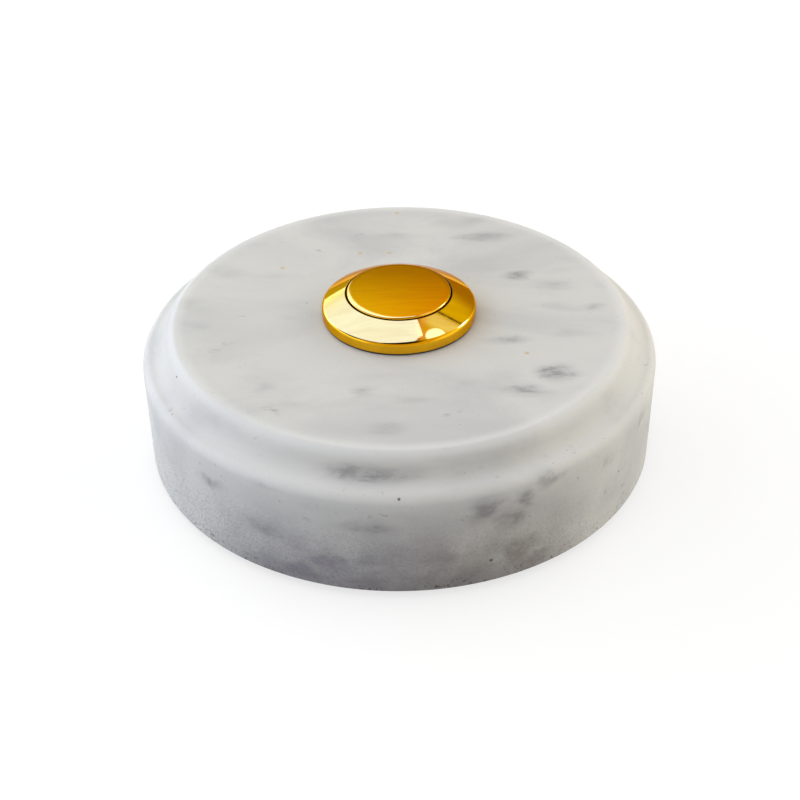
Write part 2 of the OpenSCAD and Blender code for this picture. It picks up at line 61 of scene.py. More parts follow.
screw_circle_r = 27.5 * MM
insert_hole_r = 2.55 * MM
insert_hole_depth = 6.05 * MM
# Radius, slope where it starts, slope where it ends and steps of each bend of the moulding
moulding_bends = [
    (0.9 * MM, 0, 33, 10),
    (3.65 * MM, 33, 72, 16),
    (3.05 * MM, 72, 14, 18),
    (1.7 * MM, 14, 90, 18),
]
# Place in mm, half width, depth and height in mm, and strength of the larger grey smudges
smudges = [
    ((14, 24, 22), (4.5, 2.2, 2), 0.9), ((0, 24.5, 22), (5, 2, 2), 0.6), ((20, 11, 22), (2.6, 2, 2), 1.0),
    ((25, 8, 22), (4.5, 2.2, 2), 0.6), ((30, 1, 22), (2.2, 1.6, 2), 0.7),
    ((16, -8, 22), (4.2, 1.3, 2), 0.8), ((23, -16.8, 22), (3.6, 2.6, 2), 1.05),
    ((26, -6, 22), (3, 1.4, 2), 0.5), ((18, -21, 22), (4.5, 2, 2), 1.0), ((2, -23, 22), (3, 1.4, 2), 0.6),
    ((-5, -21, 22), (2.5, 1.6, 2), 0.7), ((-2, -30, 22), (3.2, 1.8, 2), 0.7),
    ((-20, -20, 22), (2, 1.8, 2), 0.55), ((-28, 13, 22), (3.5, 2.5, 2), 0.45),
    ((-6, -37, 20), (9, 2.5, 1.8), 1.0), ((-27, -29, 13), (4, 3, 1.5), 0.9),
    ((-20, -35, 9), (6, 3, 2), 0.9), ((-11, -39, 6), (4, 2.5, 2), 1.35), ((-5, -40, 7), (3, 2, 1.6), 0.8),
    ((-5, -40, 13), (5, 2, 1.5), 0.95), ((12, -38, 15), (2.8, 2.5, 2.5), 1.25),
    ((15, -37, 12), (3, 2.5, 2.2), 1.05), ((17, -36.3, 15), (2, 2, 2.2), 0.95),
    ((17, -36, 6), (3.6, 2.5, 2.4), 1.15), ((20.7, -34.2, 17), (3, 2.6, 1.7), 1.0),
    ((28, 16, 22), (2.5, 1.5, 2), 0.4), ((33, 8, 22), (2, 1.5, 2), 0.4), ((-25, 22, 22), (3, 1.5, 2), 0.35),
    ((-21, 12, 22), (3, 1.2, 2), 0.35), ((-17, -1, 22), (2, 1, 2), 0.35), ((-16, -24, 22), (2, 1, 2), 0.45),
    ((10, -19, 22), (3, 1.2, 2), 0.45), ((-19, -35, 17), (3, 2, 1), 0.6), ((6, -39, 7), (3, 2, 3), 0.85),
    ((36, -18, 15), (1.2, 2, 2.4), 0.7), ((19, -35, 3), (3, 2, 1.6), 1.0),
    ((30, -27, 14), (1.6, 2, 1.6), 0.6), ((-14, -37, 3), (4.5, 2, 1.8), 1.4),
    ((-39, -4, 12), (2, 4, 1.6), 0.8), ((-38, 12, 7), (3, 5, 1.8), 0.9), ((-31, 25, 14), (4, 3, 1.6), 0.7),
    ((-18, 35, 6), (6, 3, 2), 1.0), ((-7, 39, 13), (5, 2, 1.6), 0.7), ((6, 39, 5), (4, 2, 1.6), 0.8),
    ((16, 36, 15), (5, 3, 1.5), 0.9), ((27, 29, 9), (4, 4, 2), 1.0), ((38, 12, 14), (2, 4, 1.5), 0.8),
    ((39, 3, 6), (2, 5, 1.8), 0.9), ((37, -12, 10), (2, 3, 1.5), 0.6),
]


def node(tree, kind, inputs=None, **settings):
    """Adds a node, sets it and fills its inputs with values or with links from other nodes."""
    made = tree.nodes.new(kind)
    for name, value in settings.items():
        setattr(made, name, value)
    for key, value in (inputs or {}).items():
        if isinstance(value, bpy.types.NodeSocket):
            tree.links.new(value, made.inputs[key])
        else:
            made.inputs[key].default_value = value
    return made


def moulded_edge():
    """Outline of the moulded edge, as radius and height, from the flat top out to the wall."""
    width = sum(
        abs(r * (math.sin(math.radians(b)) - math.sin(math.radians(a))))
        for r, a, b, _ in moulding_bends
    )
    spots = [(stone_r - width, stone_top)]
    for r, a, b, steps in moulding_bends:
        x, z = spots[-1]
        k = r if b > a else -r
        for i in range(1, steps + 1):
            s, s0 = math.radians(a + (b - a) * i / steps), math.radians(a)
            spots.append((x + k * (math.sin(s) - math.sin(s0)), z + k * (math.cos(s) - math.cos(s0))))
    return spots


def group(name, *sockets):
    """Starts a geometry node tree with these named inputs and one geometry output."""
    tree = bpy.data.node_groups.new(name, "GeometryNodeTree")
    for label, kind in sockets:
        tree.interface.new_socket(label, in_out="INPUT", socket_type="NodeSocket" + kind)
    tree.interface.new_socket("Piece", in_out="OUTPUT", socket_type="NodeSocketGeometry")
    return tree, tree.nodes.new("NodeGroupInput").outputs


turned_inputs = (("Outline", "Geometry"), ("Steps", "Int"), ("Finish", "Material"))


def reckon_whole(tree, operation, a, b):
    """Whole-number arithmetic."""
    return node(tree, "FunctionNodeIntegerMath", {0: a, 1: b}, operation=operation).outputs[0]


def reckon(tree, operation, a, b):
    """Arithmetic with two values."""
    return node(tree, "ShaderNodeMath", {0: a, 1: b}, operation=operation).outputs[0]


def vector_of(tree, **parts):
    """A vector from its parts X, Y and Z."""
    return node(tree, "ShaderNodeCombineXYZ", parts).outputs[0]


def close(tree, geometry, finish):
    """Ends a tree: realises the instances and gives them their finish."""
    real = node(tree, "GeometryNodeRealizeInstances", {0: geometry}).outputs[0]
    done = node(tree, "GeometryNodeSetMaterial", {"Geometry": real, "Material": finish}).outputs[0]
    node(tree, "NodeGroupOutput", {0: done})


def turn(tree, outline, steps):
    """Turns an outline, drawn as radius along X and height along Z, round the Z axis."""
    rows = node(tree, "GeometryNodeAttributeDomainSize", {0: outline}).outputs["Point Count"]
    ring = reckon_whole(tree, "ADD", steps, 1)
    grid = node(tree, "GeometryNodeMeshGrid", {"Vertices X": rows, "Vertices Y": ring}).outputs["Mesh"]
    index = node(tree, "GeometryNodeInputIndex").outputs[0]
    spot = node(tree, "GeometryNodeSampleIndex", {
        "Geometry": outline,
        "Value": node(tree, "GeometryNodeInputPosition").outputs[0],
        "Index": reckon_whole(tree, "DIVIDE_FLOOR", index, ring),
    }, data_type="FLOAT_VECTOR").outputs[0]
    share = reckon(tree, "DIVIDE", reckon_whole(tree, "MODULO", index, ring), steps)
    angle = times(tree, share, math.tau)
    turned = node(tree, "ShaderNodeVectorRotate", {"Vector": spot, "Angle": angle}, rotation_type="Z_AXIS")
    placed = node(tree, "GeometryNodeSetPosition", {"Geometry": grid, "Position": turned.outputs[0]})
    seam = {"Geometry": placed.outputs[0], "Distance": 1e-6}
    return node(tree, "GeometryNodeMergeByDistance", seam).outputs[0]


def on_circle(tree, shape, count, radius, height):
    """Sets copies of a shape round a circle, the first one up the wall, each turned outwards."""
    circle = node(tree, "GeometryNodeMeshCircle", {"Vertices": count, "Radius": radius}).outputs[0]
    spots = node(tree, "GeometryNodeTransform", {
        "Geometry": circle,
        "Translation": vector_of(tree, Z=height),
        "Rotation": (0, 0, math.pi / 2),
    }).outputs[0]
    share = reckon(tree, "DIVIDE", node(tree, "GeometryNodeInputIndex").outputs[0], count)
    angle = vector_of(tree, Z=times(tree, share, math.tau))
    facing = node(tree, "FunctionNodeEulerToRotation", {0: angle}).outputs[0]
    return node(tree, "GeometryNodeInstanceOnPoints", {
        "Points": spots, "Instance": shape, "Rotation": facing,
    }).outputs[0]


def cut_away(tree, shape, tools):
    """Cuts tools out of a shape."""
    tools = node(tree, "GeometryNodeRealizeInstances", {0: tools}).outputs[0]
    cut = node(tree, "GeometryNodeMeshBoolean", {"Mesh 1": shape, "Mesh 2": tools},
               operation="DIFFERENCE", solver="MANIFOLD")
    return cut.outputs[0]


def turned_line(outline, closed=True):
    """Spots of an outline of radius and height, run so that the turned faces point outwards."""
    ring = outline + outline[:1]
    area = sum(x * next_z - next_x * z for (x, z), (next_x, next_z) in zip(ring, ring[1:]))
    if area > 0:
        outline = outline[::-1]
    return [(x, 0, z) for x, z in outline + outline[:1] * closed]


def make(name, spots, tree, **sizes):
    """Runs a tree on a line through spots, bakes the result and returns it as a piece at the origin."""
    line = bpy.data.meshes.new(name)
    line.from_pydata(spots, [(i, i + 1) for i in range(len(spots) - 1)], [])
    piece = bpy.data.objects.new(name, line)
    bpy.context.scene.collection.objects.link(piece)
    run = piece.modifiers.new(tree.name, "NODES")
    run.node_group = tree
    for item in tree.interface.items_tree:
        key = item.name.lower().replace(" ", "_")
        if item.in_out == "INPUT" and key in sizes:
            run[item.identifier] = sizes[key]
    graph = bpy.context.evaluated_depsgraph_get()
    made = bpy.data.meshes.new_from_object(piece.evaluated_get(graph))
    piece.modifiers.remove(run)
    piece.data = made
    made.name = name
    smooth(made)
    return piece


def smooth(mesh, angle=35):
    """Smooth shading, with edges steeper than the angle kept sharp."""
    mesh.shade_smooth()
    mesh.set_sharp_from_angle(angle=math.radians(angle))


def fit(piece, body, node_name):
    """Puts a piece on its body, in the place of its CAD node."""
    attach(piece, body)
    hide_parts(node_name)


def finish(name, **constants):
    """A material with one principled shader, its constants set on the shader's own sockets."""
    material = bpy.data.materials.new(name)
    material.use_nodes = True
    shader = material.node_tree.nodes["Principled BSDF"]
    for key, value in constants.items():
        shader.inputs[key.replace("_", " ").title().replace("Ior", "IOR")].default_value = value
    return material, material.node_tree, shader


def on_piece(tree, scale=(1, 1, 1), turn_z=0.0, shift=(0, 0, 0)):
    """Object coordinates, stretched and turned for one pattern."""
    place = node(tree, "ShaderNodeTexCoord").outputs["Object"]
    return node(tree, "ShaderNodeMapping", {
        "Vector": place, "Scale": scale, "Rotation": (0, 0, turn_z), "Location": shift,
    }).outputs[0]


def noise(tree, vector, scale, detail=2.0, roughness=0.5, distortion=0.0):
    """A cloudy pattern, finer with a larger scale."""
    return node(tree, "ShaderNodeTexNoise", {
        "Vector": vector, "Scale": scale, "Detail": detail, "Roughness": roughness, "Distortion": distortion,
    }).outputs[0]


def ramp(tree, value, low, high, start=0.0, end=1.0):
    """Smooth step of a value from low to high."""
    return node(tree, "ShaderNodeMapRange", {
        "Value": value, "From Min": low, "From Max": high, "To Min": start, "To Max": end,
    }, interpolation_type="SMOOTHSTEP").outputs[0]


def times(tree, a, b):
    """One value times another."""
    return reckon(tree, "MULTIPLY", a, b)


def larger(tree, a, b):
    """The larger of two values."""
    return reckon(tree, "MAXIMUM", a, b)


def reckon_vector(tree, operation, a, b):
    """Arithmetic with two vectors."""
    return node(tree, "ShaderNodeVectorMath", {0: a, 1: b}, operation=operation).outputs[0]


def length(tree, vector):
    """How long a vector is."""
    return node(tree, "ShaderNodeVectorMath", {0: vector}, operation="LENGTH").outputs["Value"]


def blend(tree, share, first, second):
    """Mixes two colours by a share."""
    mixed = node(tree, "ShaderNodeMix", {0: share, 6: first, 7: second}, data_type="RGBA")
    return mixed.outputs[2]


def paint(tree, shader, colour, roughness):
    """Gives a shader its colour and its roughness."""
    tree.links.new(colour, shader.inputs["Base Color"])
    tree.links.new(roughness, shader.inputs["Roughness"])


def bump(tree, shader, height, distance, strength=1.0):
    """Gives a shader small hills and dips."""
    bumped = node(tree, "ShaderNodeBump", {"Height": height, "Distance": distance, "Strength": strength})
    tree.links.new(bumped.outputs[0], shader.inputs["Normal"])


def wavering(tree, stretch, scale, reach):
    """Object coordinates pushed about by a stretched noise, for patterns with feathered edges."""
    drift = node(tree, "ShaderNodeTexNoise", {
        "Vector": on_piece(tree, stretch), "Scale": scale, "Detail": 3.0, "Roughness": 0.5,
    }).outputs["Color"]
    centred = reckon_vector(tree, "SUBTRACT", drift, (0.5, 0.5, 0.5))
    pushed = reckon_vector(tree, "MULTIPLY", centred, reach)
    return reckon_vector(tree, "ADD", on_piece(tree), pushed)


def spot_at(tree, place, middle, size, strength):
    """A soft spot round a place in mm, strongest in its middle."""
    scale = [1 / (s * MM) for s in size]
    shift = [-m * MM * k for m, k in zip(middle, scale)]
    from_middle = node(tree, "ShaderNodeMapping", {"Vector": place, "Scale": scale, "Location": shift})
    return ramp(tree, length(tree, from_middle.outputs[0]), 0.0, 1.6, strength, 0.0)


def specks(tree, scale, size, share, shift):
    """Small scattered specks, of which only a share shows."""
    cells = node(tree, "ShaderNodeTexVoronoi", {
        "Vector": on_piece(tree, shift=shift), "Scale": scale,
    }).outputs
    chosen = node(tree, "ShaderNodeSeparateColor", {0: cells["Color"]}).outputs[0]
    dots = ramp(tree, cells["Distance"], size, size * 0.5)
    return times(tree, dots, ramp(tree, chosen, share, share * 0.98))


marble, tree, shader = finish("honed_marble", ior=1.5, specular_ior_level=0.25, subsurface_weight=0.2,
                               subsurface_radius=(1, 0.95, 0.9), subsurface_scale=0.003)
white = (0.70, 0.695, 0.68, 1)
pale_grey = (0.55, 0.55, 0.56, 1)
slate = (0.27, 0.268, 0.29, 1)
lilac = (0.30, 0.285, 0.32, 1)
umber = (0.30, 0.258, 0.245, 1)
on_stone = node(tree, "ShaderNodeTexCoord").outputs["Object"]
x, y, z = node(tree, "ShaderNodeSeparateXYZ", {0: on_stone}).outputs
from_axis = length(tree, on_piece(tree, (1, 1, 0)))
# Pale clouds through the whole stone
clouds = noise(tree, on_piece(tree, (0.8, 1.3, 1.3)), 48, 4, 0.55, 0.5)
cloudy = reckon(tree, "SUBTRACT", 1.0, spot_at(tree, on_stone, (-20, -1, 22.6), (9, 5, 3), 0.9))
colour = blend(tree, times(tree, cloudy, ramp(tree, clouds, 0.42, 0.70, 0, 0.75)), white, pale_grey)
# Grey smudges with feathered edges, first as a soft halo and then with streaks in them
low_down = ramp(tree, z, 19 * MM, 1 * MM)
rightwards = ramp(tree, x, -18 * MM, 16 * MM)
stain = blend(tree, low_down, slate, blend(tree, rightwards, lilac, umber))
streaks = noise(tree, on_piece(tree, (0.4, 1, 0.8), 0.12), 1100, 5, 0.65, 0.4)
feathered = wavering(tree, (0.3, 1, 0.9), 420, (7 * MM, 2.6 * MM, 2.6 * MM))
grey = 0.0
for middle, size, strength in smudges:
    grey = larger(tree, grey, spot_at(tree, feathered, middle, size, strength))
patches = noise(tree, on_piece(tree, (0.7, 1.4, 1.1), 0, (0.31, 0.12, 0.05)), 85, 2, 0.5)
grey = larger(tree, grey, ramp(tree, patches, 0.58, 0.78, 0, 0.55))
colour = blend(tree, ramp(tree, grey, 0.05, 1.0, 0, 0.4), colour, stain)
grey = times(tree, grey, reckon(tree, "MINIMUM", grey, 1.0))
flecks = noise(tree, on_piece(tree, (0.45, 1.1, 1), 0.1, (0.2, 0.4, 0.1)), 300, 4, 0.6, 0.5)
grey = larger(tree, grey, ramp(tree, flecks, 0.59, 0.78, 0, 0.6))
chips = noise(tree, on_piece(tree, (0.8, 0.8, 1.2), 0, (0.11, 0.07, 0.02)), 750, 3, 0.6, 0.6)
chips = times(tree, ramp(tree, chips, 0.58, 0.74, 0, 0.75), ramp(tree, from_axis, 36 * MM, 39 * MM))
grey = larger(tree, grey, chips)
grey = times(tree, grey, ramp(tree, streaks, 0.3, 0.7, 0.25, 1.35))
colour = blend(tree, ramp(tree, grey, 0.15, 1.05, 0, 0.7), colour, stain)
# Painted shade: the wall made greyer and duller low down at the front, where it is in shade, lilac on the
# left and umber on the right like the side light
mottle = noise(tree, on_piece(tree, (0.8, 1, 1)), 240, 5, 0.62)
shade_start = ramp(tree, rightwards, 0.0, 1.0, -25 * MM, -28 * MM)
# Weaker towards the right, for the painted shade and for the grain
fading_right = ramp(tree, x, 16 * MM, 34 * MM, 1.0, 0.3)
shaded = ramp(tree, y, shade_start, -39.5 * MM, times(tree, fading_right, 0.06), 1.0)
painted_front_shade = times(tree, times(tree, low_down, shaded), ramp(tree, mottle, 0.32, 0.70, 0.45, 0.95))
painted_shade_grey = blend(tree, rightwards, (0.27, 0.255, 0.31, 1), (0.285, 0.252, 0.232, 1))
colour = blend(tree, painted_front_shade, colour, painted_shade_grey)
# Painted highlights: the shoulder and the arris made paler, where light catches them
painted_shoulder_light = ramp(tree, z, 15 * MM, 17.5 * MM)
painted_shoulder_light = times(tree, painted_shoulder_light, ramp(tree, z, 19.6 * MM, 18.4 * MM))
painted_shoulder_light = times(tree, painted_shoulder_light, ramp(tree, y, 5 * MM, -20 * MM, 0.15, 0.4))
painted_arris_light = ramp(tree, from_axis, 32.9 * MM, 34.7 * MM)
painted_arris_light = times(tree, painted_arris_light, ramp(tree, z, 21.3 * MM, 22.4 * MM, 0, 0.6))
colour = blend(tree, larger(tree, painted_shoulder_light, painted_arris_light), colour, (0.80, 0.80, 0.80, 1))
# Painted shade: a darker foot at the front, low on the wall
foot = times(tree, shaded, ramp(tree, z, 6 * MM, 1 * MM, 0, 0.55))
colour = blend(tree, foot, colour, (0.20, 0.185, 0.20, 1))
# Fine grain, stronger low on the wall
grain = noise(tree, on_piece(tree), 3000, 3, 0.7)
coarser = times(tree, low_down, ramp(tree, y, 20 * MM, -30 * MM, 0.3, 1.0))
coarser = times(tree, coarser, fading_right)
grainy = times(tree, ramp(tree, grain, 0.4, 0.72), ramp(tree, coarser, 0.0, 1.0, 0.05, 0.6))
colour = blend(tree, grainy, colour, (0.25, 0.245, 0.255, 1))
# Rusty specks, pits and grit round the foot, and a band of painted shade along the foot
rusty = specks(tree, 150, 0.045, 0.12, (0.07, 0.02, 0.03))
for speck in ((-18.9, 14.3), (-6.3, 18.9), (-1.5, 18.8), (-0.1, 32.6), (19, -11.5)):
    rusty = larger(tree, rusty, spot_at(tree, on_stone, (*speck, 22.6), (0.4, 0.35, 0.5), 1.0))
colour = blend(tree, times(tree, rusty, 0.7), colour, (0.62, 0.42, 0.10, 1))
pits = specks(tree, 210, 0.045, 0.2, (0.01, 0.05, 0.09))
pits = larger(tree, pits, times(tree, specks(tree, 420, 0.045, 0.8, (0.03, 0.06, 0.01)), 0.5))
for middle, size in (((-0.3, -39.8, 17.9), (0.2, 0.5, 0.17)), ((12.6, -38, 5.2), (0.26, 0.5, 0.26))):
    pits = larger(tree, pits, spot_at(tree, on_stone, middle, size, 1.4))
near_foot = ramp(tree, z, 4.2 * MM, 1.0 * MM)
near_foot = times(tree, near_foot, ramp(tree, mottle, 0.42, 0.58, 0.25, 1.0))
near_foot = times(tree, near_foot, ramp(tree, y, -5 * MM, -32 * MM, 0.6, 1.3))
grit = times(tree, near_foot, ramp(tree, noise(tree, on_piece(tree), 1900, 3), 0.56, 0.68))
# Painted shade: an even dark band along the chamfer at the foot, under the grit
grit = larger(tree, grit, ramp(tree, z, 1.5 * MM, 0.9 * MM, 0.0, 0.4))
dirt_and_foot_shade = reckon(tree, "MINIMUM", larger(tree, pits, grit), 0.85)
colour = blend(tree, dirt_and_foot_shade, colour, (0.08, 0.06, 0.045, 1))
paint(tree, shader, colour, ramp(tree, grain, 0.2, 0.8, 0.42, 0.6))
bump(tree, shader, reckon(tree, "SUBTRACT", times(tree, grain, 0.3), pits), 0.00008, 0.5)

tree, given = group("turned stone", *turned_inputs, ("Holes", "Int"), ("Hole Circle", "Float"),
                    ("Hole Radius", "Float"), ("Hole Depth", "Float"), ("Shelf", "Float"))
drill = node(tree, "GeometryNodeMeshCylinder", {
    "Vertices": 48, "Radius": given["Hole Radius"], "Depth": times(tree, given["Hole Depth"], 2.0),
}).outputs["Mesh"]
drills = on_circle(tree, drill, given["Holes"], given["Hole Circle"], given["Shelf"])
close(tree, cut_away(tree, turn(tree, given["Outline"], given["Steps"]), drills), given["Finish"])

outline = moulded_edge() + [
    (stone_r, stone_low + foot_bevel),
    (stone_r - foot_bevel, stone_low),
    (rebate_r, stone_low),
    (rebate_r, shelf_z),
    (cavity_r, shelf_z),
    (cavity_r, web_z),
    (stone_bore_r, web_z),
    (stone_bore_r, stone_top),
]
marble_base = make("marble_base", turned_line(outline), tree, steps=320, finish=marble,
                   holes=cover_screw_count, hole_circle=screw_circle_r, hole_radius=insert_hole_r,
                   hole_depth=insert_hole_depth, shelf=shelf_z)
fit(marble_base, "base", "stone_base")


# Threaded inserts: three short brass sleeves, turned from bar, grooved so that the glue holds them.
# They are bonded into the holes in the shelf of the stone and take the cover screws.
insert_r = 2.5
insert_bore_r = 1.55
insert_low = 2.5
insert_high = 8.5
insert_groove_r = 2.25
insert_groove_pitch = 0.8


def outline_of(corners, steps=7):
    """An outline from corners (radius, height) in mm, rounded where a third value gives a radius."""
    spots = []
    for i, corner in enumerate(corners):
        here = Vector(corner[:2])
        if len(corner) < 3:
            spots.append(here)
            continue
        u = (Vector(corners[i - 1][:2]) - here).normalized()
        v = (Vector(corners[(i + 1) % len(corners)][:2]) - here).normalized()
        half = u.angle(v) / 2
        centre = here + (u + v).normalized() * corner[2] / math.sin(half)
        p, q = (here + w * corner[2] / math.tan(half) - centre for w in (u, v))
        sweep = p.angle_signed(q)
        spots += [centre + Matrix.Rotation(-sweep * k / steps, 2) @ p for k in range(steps + 1)]
    return [(x * MM, z * MM) for x, z in spots]


def grooves(crest, root, low, high, pitch):
    """Corners of a thread cut as rings, from the low end to the high end."""
    count = int((high - low) / pitch)
    start = (low + high - count * pitch) / 2
    ring = ((crest, 0.1), (root, 0.5), (crest, 0.9))
    return [(r, start + (i + share) * pitch) for i in range(count) for r, share in ring]


turned_brass, tree, shader = finish("turned_brass", metallic=1.0)
lathe_lines = noise(tree, on_piece(tree, (0.15, 0.15, 1)), 4200, 2, 0.6)
tarnish = noise(tree, on_piece(tree), 380, 3, 0.6)
colour = blend(tree, ramp(tree, tarnish, 0.4, 0.75), (0.70, 0.50, 0.20, 1), (0.56, 0.38, 0.15, 1))
paint(tree, shader, colour, ramp(tree, lathe_lines, 0.2, 0.8, 0.22, 0.42))
bump(tree, shader, lathe_lines, 0.00002, 0.5)

tree, given = group("inserts", *turned_inputs, ("Count", "Int"), ("Circle", "Float"))
sleeve = turn(tree, given["Outline"], given["Steps"])
close(tree, on_circle(tree, sleeve, given["Count"], given["Circle"], 0.0), given["Finish"])
outline = outline_of([
    (insert_bore_r, insert_high), (insert_bore_r, insert_low), (insert_r, insert_low),
    *grooves(insert_r, insert_groove_r, insert_low + 0.5, insert_high - 0.5, insert_groove_pitch),
    (insert_r, insert_high, 0.2),
])
inserts = make("inserts", turned_line(outline), tree, steps=48, finish=turned_brass,
               count=cover_screw_count, circle=screw_circle_r)
fit(inserts, "base", "cover_inserts")


# Bezel: turned from one bar of brass, polished to a mirror on its cone and rim.
# Its threaded barrel goes through the stone, its lip keeps the button in, and its lower edge is rolled
# over the contact carrier.
head_r = 11.95
head_low = 22.9
head_top = 26.6
rim_top = 24.6
rim_round = 0.8
lip_r = 8.175
lip_low = 24.3
barrel_r = 9.975
barrel_low = 9.0
barrel_thread_r = 9.6
barrel_pitch = 1.0
rolled_edge_r = 8.525
carrier_seat_r = 9.025
carrier_low = 9.6
carrier_stop = 14.95
slide_r = 8.725

brass, tree, shader = finish("polished_brass", metallic=1.0, specular_tint=(1.0, 0.68, 0.45, 1))
gold = (0.88, 0.48, 0.018, 1)
deep_gold = (0.81, 0.42, 0.015, 1)
wipe = noise(tree, on_piece(tree, (0.4, 2.6, 1), 0.3), 300, 3, 0.6, 0.6)
across = length(tree, on_piece(tree, (1, 1, 0)))
height = node(tree, "ShaderNodeSeparateXYZ", {0: on_piece(tree)}).outputs["Z"]
# Painted shade: the bore and the side of the button made dark and dull, down the gap between them
painted_gap_shade = times(tree, ramp(tree, across, 8.4 * MM, 8.28 * MM), ramp(tree, height, 26.62 * MM, 26.46 * MM))
colour = blend(tree, ramp(tree, wipe, 0.3, 0.75), gold, deep_gold)
colour = blend(tree, painted_gap_shade, colour, (0.03, 0.015, 0.001, 1))
rough = larger(tree, ramp(tree, wipe, 0.25, 0.8, 0.04, 0.10), times(tree, painted_gap_shade, 0.6))
paint(tree, shader, colour, rough)
bump(tree, shader, wipe, 0.00001, 0.35)

turning, given = group("turning", *turned_inputs)
close(turning, turn(turning, given["Outline"], given["Steps"]), given["Finish"])
outline = outline_of([
    (lip_r, head_top, 0.15), (head_r, rim_top, rim_round), (head_r, head_low, 0.15), (barrel_r, head_low),
    *reversed(grooves(barrel_r, barrel_thread_r, barrel_low + 0.4, head_low - 0.6, barrel_pitch)),
    (barrel_r, barrel_low + 0.35), (barrel_thread_r, barrel_low), (rolled_edge_r, barrel_low, 0.2),
    (rolled_edge_r, carrier_low), (carrier_seat_r, carrier_low), (carrier_seat_r, carrier_stop),
    (slide_r, carrier_stop), (slide_r, lip_low), (lip_r, lip_low),
])
bezel = make("bezel", turned_line(outline), turning, steps=256, finish=brass)
fit(bezel, "base", "push_bezel")


# Gasket: a thin ring of black rubber, punched from sheet.
# It lies between the head of the bezel and the stone and shows as a dark line under the rim.
barrel_hole_r = 10.025
gasket_r = 11.8
gasket_low = 22.6
gasket_round = 0.08

seal_rubber, tree, shader = finish("seal_rubber", ior=1.52)
bloom = noise(tree, on_piece(tree), 900, 4, 0.6)
colour = blend(tree, bloom, (0.012, 0.012, 0.012, 1), (0.04, 0.04, 0.041, 1))
paint(tree, shader, colour, ramp(tree, bloom, 0.25, 0.75, 0.42, 0.62))
bump(tree, shader, noise(tree, on_piece(tree), 5200, 2), 0.00003, 0.5)


def flat_ring(outer, low, high, rounding, steps=7):
    """Outline of a flat ring round the barrel, with rounded outer edges."""
    corners = [(barrel_hole_r, low), (outer, low, rounding), (outer, high, rounding), (barrel_hole_r, high)]
    return outline_of(corners, steps)


outline = flat_ring(gasket_r, gasket_low, head_low, gasket_round)
gasket = make("gasket", turned_line(outline), turning, steps=192, finish=seal_rubber)
fit(gasket, "base", "bezel_gasket")


# Button: a hollow cap pressed and turned from brass, polished, a little domed on top.
# A flange round its foot is caught under the lip of the bezel.
button_r = 8.025
button_edge = 0.3
button_top = 26.95
button_dome = 0.13
button_inside = 24.9
button_low = 23.25
button_bore_r = 6.725
flange_r = 8.575
flange_top = 24.25
crown_steps = 12
crown_r = button_r - button_edge
crown = [
    (crown_r * k / crown_steps, button_top - button_dome * (k / crown_steps) ** 2)
    for k in range(crown_steps - 1, -1, -1)
]
outline = outline_of([
    (0, button_inside), (button_bore_r, button_inside), (button_bore_r, button_low), (flange_r, button_low),
    (flange_r, flange_top), (button_r, flange_top), (button_r, button_top - button_dome, button_edge), *crown,
])
button = make("button", turned_line(outline, False), turning, steps=192, finish=brass)
fit(button, "button", "push_button")
brass_pieces = bpy.data.collections.new("brass pieces")
brass_pieces.objects.link(bezel)
brass_pieces.objects.link(button)


# Return spring: a coil of bright steel wire with closed ends, wound cold.
# It stands on the rim of the contact carrier and pushes the button up; it shortens as the button goes down.
return_low = 14.92
return_high = 23.23
return_r = 7.875
return_wire = 0.7
return_turns = 4.5

bright_steel, tree, shader = finish("bright_steel", metallic=1.0)
drawn = noise(tree, on_piece(tree, (1, 1, 0.4)), 2400, 3, 0.6)
colour = blend(tree, ramp(tree, drawn, 0.3, 0.7), (0.62, 0.62, 0.61, 1), (0.48, 0.48, 0.485, 1))
paint(tree, shader, colour, ramp(tree, drawn, 0.2, 0.8, 0.16, 0.34))
bump(tree, shader, drawn, 0.00001, 0.4)

coil, given = group("coil", ("Path", "Geometry"), ("Wire Radius", "Float"), ("Sides", "Int"),
                    ("Finish", "Material"))
path = node(coil, "GeometryNodeMeshToCurve", {"Mesh": given["Path"]}).outputs[0]
wire = node(coil, "GeometryNodeCurvePrimitiveCircle", {
    "Resolution": given["Sides"], "Radius": given["Wire Radius"],
})
wound = node(coil, "GeometryNodeCurveToMesh", {
    "Curve": path, "Profile Curve": wire.outputs[0], "Fill Caps": True,
})
close(coil, wound.outputs[0], given["Finish"])


def coil_line(radius, wire_d, low, high, turns, closed=0.45, steps=48):
    """Centre line of a spring, with one closer turn at each end."""
    rise, end_pitch = high - low - wire_d, wire_d + closed
    pitch = (rise - 2 * end_pitch) / (turns - 2)
    spots = []
    for i in range(round(turns * steps) + 1):
        t = i / steps
        opened = min(max(t - 1, 0), turns - 2)
        z = low + wire_d / 2 + end_pitch * (t - opened) + pitch * opened
        spots.append((radius * math.cos(math.tau * t) * MM, radius * math.sin(math.tau * t) * MM, z * MM))
    return spots


return_line = coil_line(return_r, return_wire, return_low, return_high, return_turns)
return_coil = make("return_coil", return_line, coil, wire_radius=return_wire / 2 * MM, sides=16,
                   finish=bright_steel)
fit(return_coil, "base", "return_spring")
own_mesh(return_coil)


# Plunger: a stem with a hub and a disc, moulded in white nylon.
# The disc is pressed into the button, and the stem slides in the guide of the contact carrier.
stem_r = 1.5
stem_low = 11.4
stem_lead = 11.8
groove_r = 1.1
groove_low = 14.8
groove_high = 15.3
hub_r = 3.1
hub_low = 19.35
disc_r = 6.675
disc_low = 23.4

nylon, tree, shader = finish("nylon", ior=1.53, subsurface_weight=0.12, subsurface_scale=0.001)
flow = noise(tree, on_piece(tree, (1, 1, 0.5)), 260, 3, 0.55, 0.8)
colour = blend(tree, flow, (0.80, 0.78, 0.70, 1), (0.86, 0.85, 0.80, 1))
paint(tree, shader, colour, ramp(tree, flow, 0.25, 0.75, 0.34, 0.5))
bump(tree, shader, noise(tree, on_piece(tree), 3000, 2), 0.00002, 0.3)

